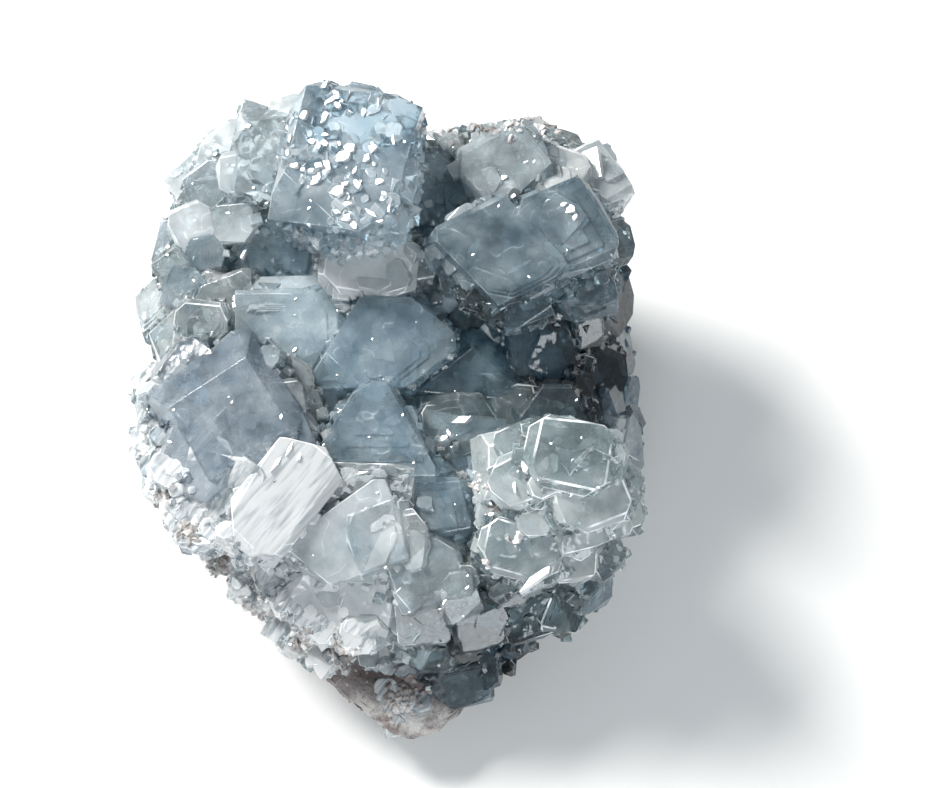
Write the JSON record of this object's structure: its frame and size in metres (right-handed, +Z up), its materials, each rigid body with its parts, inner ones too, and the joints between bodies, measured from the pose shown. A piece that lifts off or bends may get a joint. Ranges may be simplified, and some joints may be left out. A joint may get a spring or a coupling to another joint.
{
  "type": "celestite cluster",
  "caption": "Broken piece of geode wall: a crust of grey-blue celestite crystals on a thin rind of pale rock, for display on a shelf.",
  "frame": {"origin": "on the small flat spot under the rock that the specimen rests on", "axes": "+Z up, +X to the right and +Y to the back as the specimen is seen from the front"},
  "size_m": [0.0627, 0.0733, 0.0427],
  "materials": {
    "celestite": "natural crystal faces, clear to milky",
    "matrix_rock": "rough broken rock, granular"
  },
  "bodies": {
    "root": {"crystals": "celestite", "matrix": "matrix_rock"}
  },
  "joints": []
}
